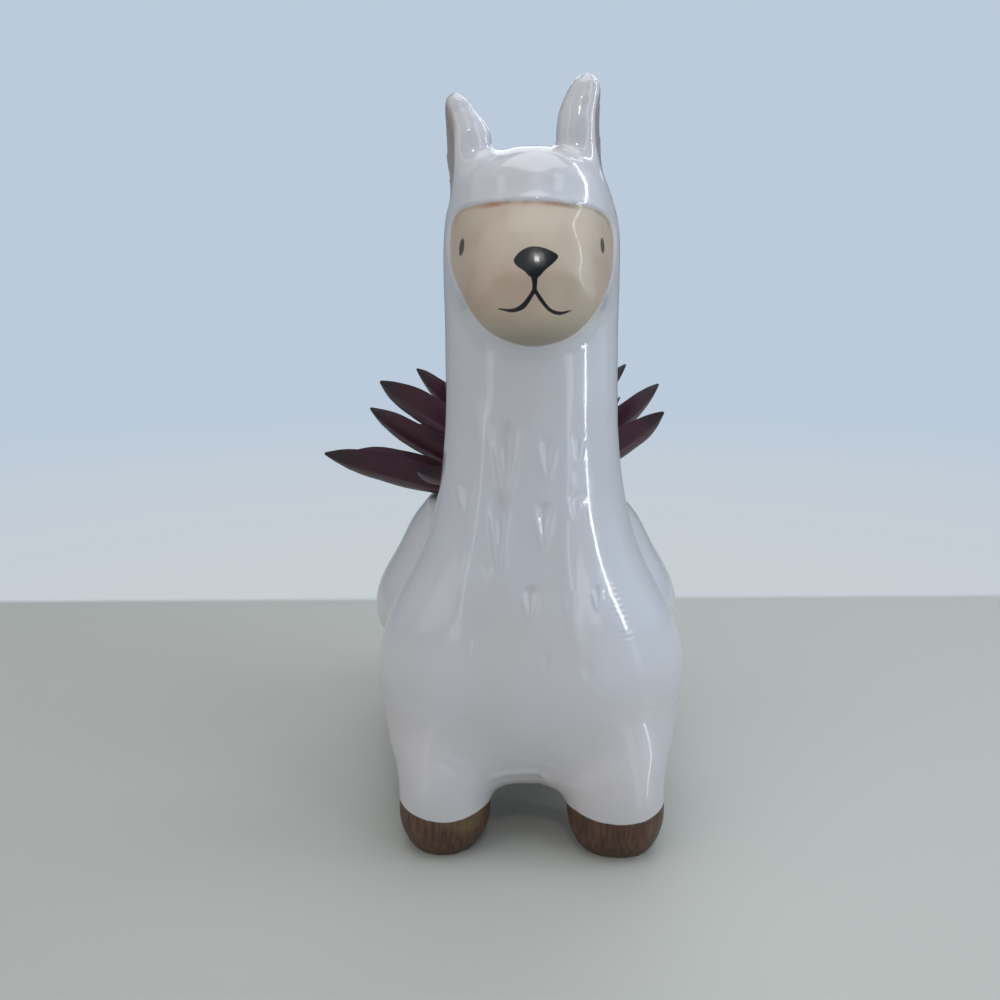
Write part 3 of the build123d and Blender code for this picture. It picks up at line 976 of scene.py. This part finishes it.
def leaf_shares(points):
    """How far each point is along its leaf, 0 to 1, and across it, -1 to 1, and its step from the middle."""
    out = np.linalg.norm(points[:, :2] - plant_axis, axis=1)
    foot = points[out < out.min() + FOOT_DEPTH * MM].mean(0)
    tip = points[np.argmax(np.linalg.norm(points - foot, axis=1))]
    line = tip - foot
    along = np.clip((points - foot) @ line / (line @ line), 0, 1)
    middles = np.zeros(STATIONS)
    halves = np.zeros(STATIONS)
    bins = np.clip((along * STATIONS).astype(int), 0, STATIONS - 1)

    # The way across is the widest direction of a slice at the leaf's middle, square to its length
    belly = points[abs(along - 0.5) < 0.06]
    spread = belly - belly.mean(0)
    spread -= np.outer(spread @ line, line) / (line @ line)
    across_way = np.linalg.svd(spread, full_matrices=False)[2][0]

    # The middle and the half width at each station, and each point's place between them
    side = (points - foot) @ across_way
    for number in range(STATIONS):
        here = side[bins == number]
        if len(here):
            middles[number] = (here.max() + here.min()) / 2
            halves[number] = (here.max() - here.min()) / 2
    known = np.flatnonzero(halves > 0)
    centre = np.interp(along * STATIONS - 0.5, known, middles[known])
    half = np.interp(along * STATIONS - 0.5, known, halves[known])
    across = np.clip((side - centre) / np.maximum(half, 1e-5), -1, 1)
    return along, across, (side - centre)[:, None] * across_way


def dress_leaf(node, number):
    """A copy of a packed leaf with a live edge and its own shares."""
    piece = merged_copy(node, f"{node}_skin")
    points = points_of(piece.data)
    normals = points_of(piece.data, "normal")
    along, across, from_middle = leaf_shares(points)
    points = points + from_middle * np.interp(along, BROADER_AT, BROADER_BY)[:, None]
    phase = number * 1.7
    wobble = np.sin(along * 9 + phase) * 0.6 + np.sin(along * 21 + 2 * phase) * 0.4
    lift = LEAF_WAVE * MM * wobble * across ** 2 * between((0.15, 0.4), (0.8, 1), along)
    upwards = np.array([0, 0, 1.0])
    set_points(piece.data, points + upwards * lift[:, None])
    store(piece.data, "along", along)
    store(piece.data, "across", across)
    store(piece.data, "underside", -normals[:, 2])
    store(piece.data, "own_shade", np.full(len(points), (number * 0.618) % 1))
    shade_smooth(piece.data, 35)
    return piece


# %% Leaf skin
MAROON = srgb(60, 22, 40)
MAROON_LIT = srgb(86, 42, 58)
PLUM_BROWN = srgb(66, 32, 44)
TIP_BLACK = srgb(28, 26, 32)
# Painted highlight: a paler line along the keel
KEEL_PAINTED_HIGHLIGHT = srgb(116, 84, 96)
LEAF_GREEN = srgb(74, 70, 56)
GRAIN_DEPTH = 0.03 * MM
VEIN_DEPTH = 0.06 * MM
LEAF_COAT = 0.06


def leaf_skin():
    """Waxy maroon skin, painted keel highlight, painted light at the edges, near-black tip, greener foot."""
    finish = Finish("leaf_skin")
    along = finish.stored("along")
    across = finish.stored("across")
    below = finish.ease(finish.stored("underside"), -0.1, 0.35)
    shade = finish.stored("own_shade")
    cloud = finish.speckle(140, detail=4)
    colour = finish.mix(finish.ease(cloud, 0.35, 0.7), MAROON, PLUM_BROWN)
    # Painted light: each leaf takes its own random share of the lit maroon
    colour = finish.mix(0.35 * shade, colour, MAROON_LIT)
    # Painted highlight along the keel on the underside
    keel = (1 - finish.ease(abs(across), 0.02, 0.16)) * below * (1 - finish.ease(along, 0.55, 0.95))
    colour = finish.mix(0.6 * keel, colour, KEEL_PAINTED_HIGHLIGHT)
    # Painted light: the edges of each leaf turn towards the lit maroon in cloudy patches
    lit_edges = finish.ease(abs(across), 0.55, 0.95) * finish.ease(cloud, 0.4, 0.7)
    colour = finish.mix(0.35 * lit_edges, colour, MAROON_LIT)
    colour = finish.mix((1 - finish.ease(along, 0.0, 0.22)) * 0.55, colour, LEAF_GREEN)
    colour = finish.mix(finish.ease(along, 0.78, 1.0) * 0.85, colour, TIP_BLACK)
    grain = finish.speckle(1600, detail=3)
    veins = finish.speckle(900, detail=2, stretch=(1, 1, 0.3))
    normal = finish.bump(grain, GRAIN_DEPTH)
    normal = finish.bump(veins, VEIN_DEPTH, below=normal)
    rough = 0.34 + 0.18 * cloud
    return finish.surface(Base_Color=colour, Roughness=rough, Coat_Weight=LEAF_COAT, Coat_Roughness=0.3,
                          Normal=normal)


leaf_material = leaf_skin()
for number, node in enumerate(leaf_nodes):
    piece = dress_leaf(node, number)
    piece.data.materials.append(leaf_material)
    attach(piece, "plant")
    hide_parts(node)
print("leaves", len(leaf_nodes))

# %% [markdown]
# ## Stem, roots, mix and stopper
#
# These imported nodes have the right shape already, so they stay and only get a finish. The loose mix and the
# top of the root ball are covered with separate crumbs of bark, grit and white perlite, because flat soil
# would look like card.

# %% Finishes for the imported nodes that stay
BARK_DARK = srgb(52, 40, 32)
BARK_LIGHT = srgb(96, 74, 56)
GRIT = srgb(136, 126, 112)
PERLITE = srgb(206, 202, 194)
STEM_GREY = srgb(118, 100, 84)
RUBBER = srgb(64, 62, 62)
RUBBER_WORN = srgb(84, 82, 80)
ROOT_DARK = srgb(44, 34, 27)
ROOT_LIGHT = srgb(78, 60, 46)
ROOT_FIBRE = srgb(150, 132, 104)
CRUMB_DEPTH = 0.6 * MM
SOIL_DEPTH = 0.4 * MM
RING_DEPTH = 0.3 * MM
RUBBER_DEPTH = 0.02 * MM
STEM_GREEN_FADE = (92, 100)
RINGS_PER_METRE = 90.0


def soil(name, dark, light, fibre):
    """Crumbly soil with fibres and pale specks."""
    finish = Finish(name)
    crumbs = finish.node("ShaderNodeTexVoronoi", {"feature": "F1"},
                         {"Vector": finish.place(), "Scale": 700.0}, out="Distance")
    cloud = finish.speckle(260, detail=5)
    colour = finish.mix(finish.ease(cloud, 0.3, 0.7), dark, light)
    specks = 1 - finish.ease(finish.speckle(1100, detail=1), 0.22, 0.3)
    colour = finish.mix(specks * 0.7, colour, fibre)
    normal = finish.bump(crumbs, CRUMB_DEPTH)
    normal = finish.bump(cloud, SOIL_DEPTH, below=normal)
    return finish.surface(Base_Color=colour, Roughness=0.92, Normal=normal)


def stem_finish():
    """Corky stem with the rings that fallen leaves leave behind."""
    finish = Finish("stem")
    height = finish.height()
    rings = finish.bands(RINGS_PER_METRE, 3.0)
    cloud = finish.speckle(300, detail=3)
    colour = finish.mix(finish.ease(cloud, 0.3, 0.7), STEM_GREY, BARK_LIGHT)
    colour = finish.mix(finish.ease(height, *STEM_GREEN_FADE) * 0.6, colour, LEAF_GREEN)
    normal = finish.bump(rings, RING_DEPTH)
    return finish.surface(Base_Color=colour, Roughness=0.75, Normal=normal)


def rubber():
    """Dull grey rubber with a fine moulded skin."""
    finish = Finish("stopper_rubber")
    cloud = finish.speckle(180, detail=3)
    colour = finish.mix(finish.ease(cloud, 0.3, 0.8), RUBBER, RUBBER_WORN)
    normal = finish.bump(finish.speckle(2500, detail=1), RUBBER_DEPTH)
    return finish.surface(Base_Color=colour, Roughness=0.62, Normal=normal)


def refinish(node, material):
    """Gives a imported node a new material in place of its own."""
    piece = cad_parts[node]
    piece.data.materials.clear()
    piece.data.materials.append(material)


refinish("potting_mix", soil("potting_mix", BARK_DARK, BARK_LIGHT, GRIT))
refinish("root_ball", soil("root_ball", ROOT_DARK, ROOT_LIGHT, ROOT_FIBRE))
refinish("plant_stem", stem_finish())
refinish("drain_plug", rubber())
print("refinished potting mix, root ball, stem and stopper")

# %% Crumbs on the soil
CRUMB_SEED = 7
MIX_CRUMBS = 620
ROOT_CRUMBS = 520
CRUMB_SIZES = (0.45, 1.25)
KIND_SHARES = [5, 4, 2, 1]
RISE_SHARE = 0.15
CLEAR_SHARE = 1.6
CRUMB_GRAIN = 0.2 * MM

# The kinds of crumb: material, colour and roughness
CRUMB_KINDS = [
    ("bark", BARK_DARK, 0.9),
    ("brown_bark", BARK_LIGHT, 0.85),
    ("grit", GRIT, 0.8),
    ("perlite", PERLITE, 0.95),
]
CRUMB_SHADE = 0.62


def crumb_colours():
    """Bark, grit and perlite for the crumbs."""
    rows = []
    for name, colour, rough in CRUMB_KINDS:
        finish = Finish(name)
        cloud = finish.speckle(1500, detail=3)
        darker = tuple(CRUMB_SHADE * part for part in colour[:3]) + (1.0,)
        shade = finish.mix(finish.ease(cloud, 0.3, 0.75), colour, darker)
        normal = finish.bump(cloud, CRUMB_GRAIN)
        rows.append(finish.surface(Base_Color=shade, Roughness=rough, Normal=normal))
    return rows


def crumb(form, chance, centre, size, kind):
    """One angular crumb, pressed flat, with its own lean."""
    made = bmesh.ops.create_icosphere(form, subdivisions=1, radius=size)["verts"]
    flat = Vector((chance.uniform(0.8, 1.5), chance.uniform(0.7, 1.1), chance.uniform(0.4, 0.8)))
    bmesh.ops.scale(form, verts=made, vec=flat)
    for vertex in made:
        vertex.co *= chance.uniform(0.8, 1.12)
    turn = Matrix.Rotation(chance.uniform(0, math.tau), 3, "Z")
    lean = Matrix.Rotation(chance.uniform(-0.5, 0.5), 3, "X")
    bmesh.ops.rotate(form, verts=made, matrix=turn @ lean)
    bmesh.ops.translate(form, verts=made, vec=centre)
    for face in {face for vertex in made for face in vertex.link_faces}:
        face.material_index = kind


def crumbs(name, count, low_radius, high_radius, height, body, slot, wall):
    """Scatters crumbs in a ring round the plant's axis, clear of the casting."""
    chance = random.Random(CRUMB_SEED + count)
    form = bmesh.new()
    placed = 0
    tries = 0
    while placed < count and tries < 20 * count:
        tries += 1
        radius = math.sqrt(chance.uniform(low_radius ** 2, high_radius ** 2))
        angle = chance.uniform(0, math.tau)
        size = chance.uniform(*CRUMB_SIZES)
        kind = chance.choices([0, 1, 2, 3], KIND_SHARES)[0]
        level = height(radius) + size * RISE_SHARE
        spot = at(radius * math.cos(angle), PLANT_Y + radius * math.sin(angle), level)
        nearest, normal, _, away = wall.find_nearest(spot)
        if away < size * CLEAR_SHARE * MM or (spot - nearest).dot(normal) < 0:
            continue
        crumb(form, chance, spot, size * MM, kind)
        placed += 1
    mesh = bpy.data.meshes.new(name)
    form.to_mesh(mesh)
    form.free()
    piece = add_piece(name, mesh)
    for material in crumb_materials:
        mesh.materials.append(material)
    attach(piece, body)
    print(name, placed)


crumb_materials = crumb_colours()
casting_tree = bvhtree.BVHTree.FromObject(casting, bpy.context.evaluated_depsgraph_get())
soil_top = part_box("potting_mix")[1].z / MM
root_radius = (root_high.x - root_low.x) / 2 / MM
crown = root_high.z / MM - soil_top


def crown_height(radius):
    """Height of the root ball's low crown at a distance from its axis."""
    return soil_top + crown * (1 - (radius / root_radius) ** 2)


def mix_height(radius):
    """The mix is level."""
    return soil_top


# The mix's ring starts outside the root ball, and the root ball's outside the stem
MIX_RING = (root_radius + 1.6, root_radius + 9.0)
ROOT_RING = (5.2, root_radius - 1.8)
crumbs("mix_crumbs", MIX_CRUMBS, *MIX_RING, mix_height, "pot", "potting_mix", casting_tree)
crumbs("root_crumbs", ROOT_CRUMBS, *ROOT_RING, crown_height, "plant", "root_ball", casting_tree)

# %% [markdown]
# ## The studio
#
# A plain pale floor carries the shadow. A hand's breadth behind the object it meets an even, cool pale grey
# that only the camera sees, on the far floor as in the world, and on the other sides it fades into it. So no
# wall hides the object from the back. The glaze mirrors the far floor as bright as the room, or its horizon
# would show as a line across the chest.

# %% Floor
FLOOR_NEAR = srgb(194, 195, 187)
BACKGROUND = srgb(188, 203, 219)
BACKGROUND_LOW = srgb(199, 206, 212)
WORLD_COLOUR = srgb(206, 218, 232)
WORLD_STRENGTH = 0.34
HORIZON_Y = 162.0
FLOOR_SIZE = 6.0
FLOOR_ROUGH = 0.45
FLOOR_GRAIN = 0.02 * MM

# Distances in metres over which the floor turns into the background, its colours mix and its mirror
# image fades
EDGE_FADE = (-0.002, 0.006)
ALL_ROUND_FADE = (0.6, 1.5)
COLOUR_FADE = (0.2, 1.0)
MIRROR_FADE = (0.2, 1.1)

form = bmesh.new()
bmesh.ops.create_grid(form, x_segments=1, y_segments=1, size=FLOOR_SIZE)
floor_mesh = bpy.data.meshes.new("floor")
form.to_mesh(floor_mesh)
form.free()
floor = add_piece("floor", floor_mesh)

paint = Finish("floor_paint")
floor_y = paint.node("ShaderNodeSeparateXYZ", sockets={0: paint.place()}, out="Y")
horizon = at(0, HORIZON_Y, 0).y
reach = paint.node("ShaderNodeVectorMath", {"operation": "LENGTH"}, {0: paint.place()}, out="Value")
behind = paint.ease(floor_y, horizon + EDGE_FADE[0], horizon + EDGE_FADE[1])
far = 1 - (1 - behind) * (1 - paint.ease(reach, *ALL_ROUND_FADE))
seen = paint.node("ShaderNodeLightPath", out="Is Camera Ray")
mirrored = paint.node("ShaderNodeLightPath", out="Is Glossy Ray")
grain = paint.bump(paint.speckle(900), FLOOR_GRAIN)
near_floor = paint.node("ShaderNodeBsdfPrincipled", {}, {"Base Color": FLOOR_NEAR, "Roughness": FLOOR_ROUGH,
                                                         "Normal": grain}, out="BSDF")
far_colour = paint.mix(paint.ease(reach, *COLOUR_FADE), BACKGROUND_LOW, BACKGROUND)
room_light = tuple(WORLD_STRENGTH * part for part in WORLD_COLOUR[:3]) + (1.0,)
far_colour = paint.mix(seen, room_light, far_colour)
far_floor = paint.node("ShaderNodeEmission", {}, {"Color": far_colour, "Strength": 1.0}, out="Emission")
share = far * seen + paint.ease(reach, *MIRROR_FADE) * mirrored
both = paint.node("ShaderNodeMixShader", {}, {0: share, 1: near_floor, 2: far_floor}, out="Shader")
paint.node("ShaderNodeOutputMaterial", {}, {"Surface": both})
floor_mesh.materials.append(paint.material)
print("floor meets the background at y", round(horizon, 3))

# %% [markdown]
# ## Lamps
#
# Glaze shows its lamps, so each one is placed for the gleam it makes. A big soft lamp on the left and one
# above give the even light, and a bluish one on the right the cool side of the neck. A long, narrow, leaning
# lamp draws the bright line down the chest, two faint ones the softer lines beside it, and a small one the
# glint on the nose. One behind keeps the back from going dark. The world adds an even light, and the camera
# sees the background colour in its place.

# %% Lamps
STRIP_LEAN = -32


def lamp(name, place, target, size, power, colour, height=None, lean=0):
    """A rectangular soft lamp that faces a target. Places are in millimetres, sizes in metres."""
    data = bpy.data.lights.new(name, "AREA")
    data.shape = "RECTANGLE"
    data.size = size
    data.size_y = height or size
    data.energy = power
    data.color = colour
    source = bpy.data.objects.new(name, data)
    bpy.context.scene.collection.objects.link(source)
    source.location = at(*place)
    facing = (at(*target) - source.location).to_track_quat("-Z", "Y").to_matrix()
    source.rotation_euler = (facing @ Matrix.Rotation(math.radians(lean), 3, "Z")).to_euler()


lamp("big soft lamp", (-1000, -800, 1300), (0, 0, 90), 3.4, 13.5, (1.0, 0.96, 0.94))
lamp("top lamp", (60, -60, 1250), (0, 0, 90), 0.9, 3.3, (0.97, 0.98, 1.0))
lamp("cool side lamp", (1100, -200, 700), (0, 0, 90), 1.6, 3.0, (0.45, 0.72, 1.0))
lamp("strip lamp", (560, -84, 400), (0, -40, 120), 0.03, 1.1, (0.95, 0.97, 1.0), height=0.95, lean=STRIP_LEAN)
lamp("faint right strip", (400, -430, 330), (0, -50, 100), 0.11, 0.3, (0.95, 0.95, 1.0), height=0.8)
lamp("faint left strip", (-450, -390, 330), (0, -50, 100), 0.11, 0.2, (1.0, 0.98, 0.96), height=0.8)
lamp("small bright lamp", (40, -700, 760), (0, -40, 150), 0.05, 0.45, (1.0, 1.0, 1.0))
lamp("back lamp", (200, 700, 800), (0, 0, 100), 0.8, 2.2, (0.9, 0.95, 1.0))
print("lamps", len(bpy.data.lights))

# %% World
world = bpy.data.worlds.new("room light")
bpy.context.scene.world = world
world.use_nodes = True
nodes, links = world.node_tree.nodes, world.node_tree.links
room = nodes["Background"]
room.inputs["Color"].default_value = WORLD_COLOUR
room.inputs["Strength"].default_value = WORLD_STRENGTH
backdrop = nodes.new("ShaderNodeBackground")
backdrop.inputs["Color"].default_value = BACKGROUND
chooser = nodes.new("ShaderNodeMixShader")
links.new(nodes.new("ShaderNodeLightPath").outputs["Is Camera Ray"], chooser.inputs[0])
links.new(room.outputs[0], chooser.inputs[1])
links.new(backdrop.outputs[0], chooser.inputs[2])
links.new(chooser.outputs[0], nodes["World Output"].inputs["Surface"])
bpy.context.scene.view_settings.view_transform = "Standard"
print("world strength", WORLD_STRENGTH)
